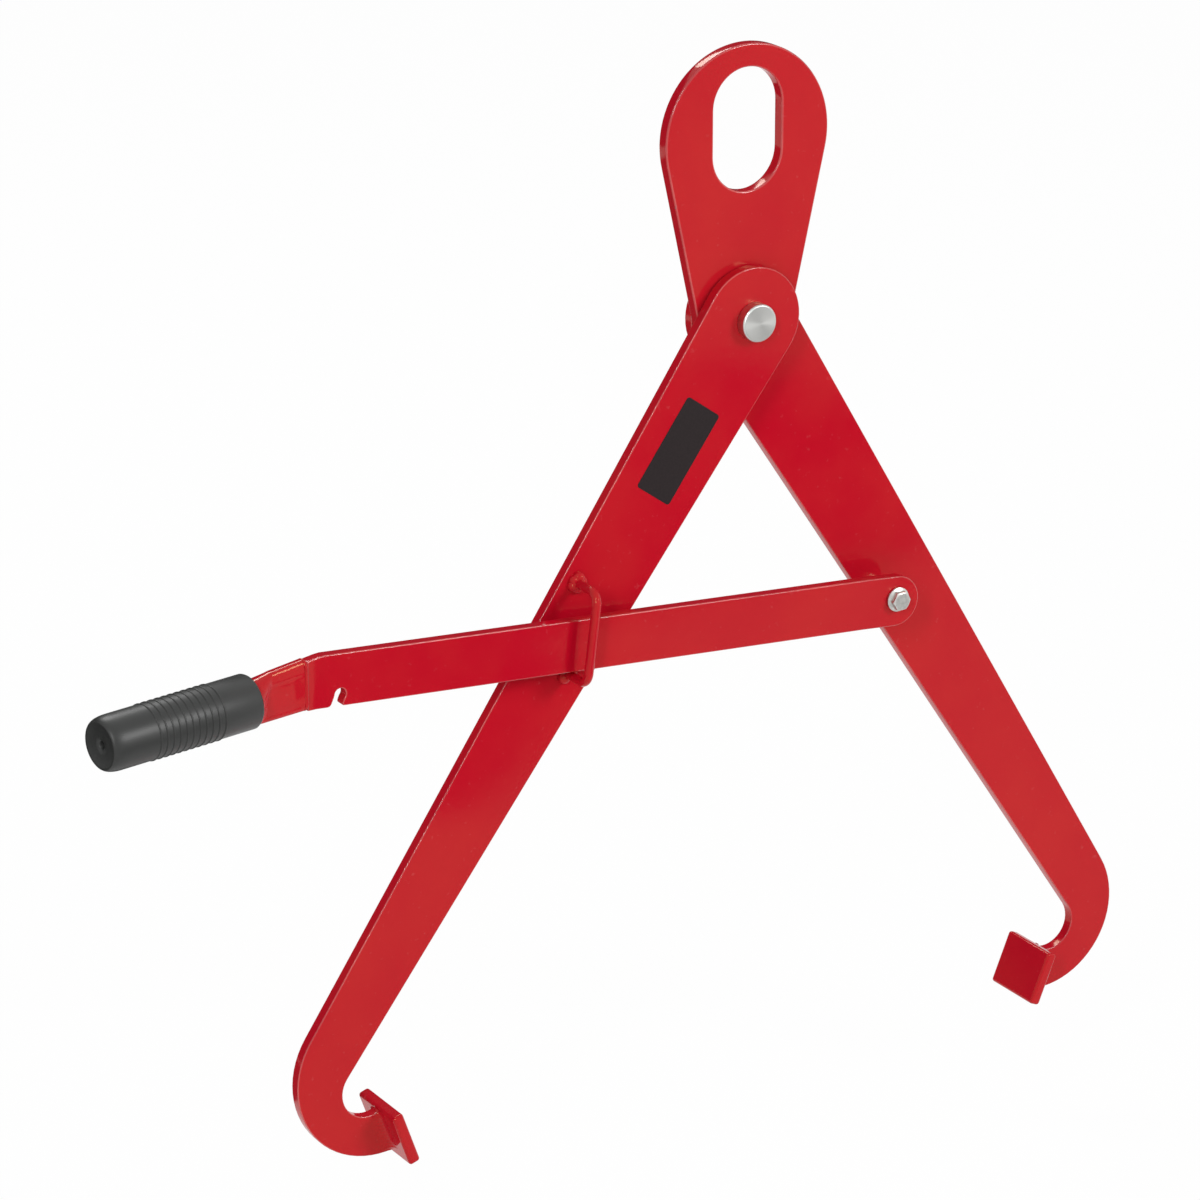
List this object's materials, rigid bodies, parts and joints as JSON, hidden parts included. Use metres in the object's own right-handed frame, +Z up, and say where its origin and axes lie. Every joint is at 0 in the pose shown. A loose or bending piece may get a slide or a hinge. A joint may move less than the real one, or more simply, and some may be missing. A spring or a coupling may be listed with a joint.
{
  "type": "drum lifting tongs",
  "caption": "Hoist tongs for lying drums: hooked arms with pads turn on a pin under a lifting lug, and a notched lever with a rubber grip locks them open.",
  "frame": {"origin": "centre of the upper arc of the lifting eye, at the middle of the lug's thickness", "axes": "+X to the rear arm's side, seen from the front; +Y from the front arm to the rear arm, along the pivot pin; +Z up"},
  "size_m": [0.8077, 0.1094, 0.7116],
  "materials": {
    "red_enamel": "gloss enamel on steel",
    "turned_steel": "turned, bright",
    "zinc_plate": "zinc plated",
    "grip_rubber": "moulded, dull"
  },
  "bodies": {
    "root": {"lifting_lug": "red_enamel", "pivot_pin": "turned_steel", "thrust_washers": "zinc_plate", "tail_washer": "zinc_plate", "split_pin": "zinc_plate"},
    "front_arm_body": {"front_arm": "red_enamel", "front_pad": "red_enamel", "front_pad_welds": "red_enamel", "guide_staple": "red_enamel", "staple_welds": "red_enamel"},
    "rear_arm_body": {"rear_arm": "red_enamel", "rear_pad": "red_enamel", "rear_pad_welds": "red_enamel", "lever_bolt": "zinc_plate", "lever_bush": "zinc_plate", "nut_washer": "zinc_plate", "lever_nut": "zinc_plate"},
    "lever_body": {"locking_lever": "red_enamel", "handle_tube": "red_enamel", "handle_weld": "red_enamel", "hand_grip": "grip_rubber"}
  },
  "joints": [
    {"name": "front_arm_hinge", "type": "hinge", "parent": "root", "child": "front_arm_body", "pos_m": [0, 0, -0.138], "axis": [0, 1, 0], "range_deg": [-12, 30]},
    {"name": "rear_arm_hinge", "type": "hinge", "parent": "root", "child": "rear_arm_body", "pos_m": [0, 0, -0.138], "axis": [0, -1, 0], "range_deg": [-12, 30]},
    {"name": "lever_hinge", "type": "hinge", "parent": "rear_arm_body", "child": "lever_body", "pos_m": [0.11119, 0, -0.34453], "axis": [0, 1, 0], "range_deg": [-12, 30]}
  ],
  "couplings": [
    {"joint": "rear_arm_hinge", "follows": "front_arm_hinge", "ratio": 1},
    {"joint": "lever_hinge", "follows": "front_arm_hinge", "ratio": 1}
  ]
}
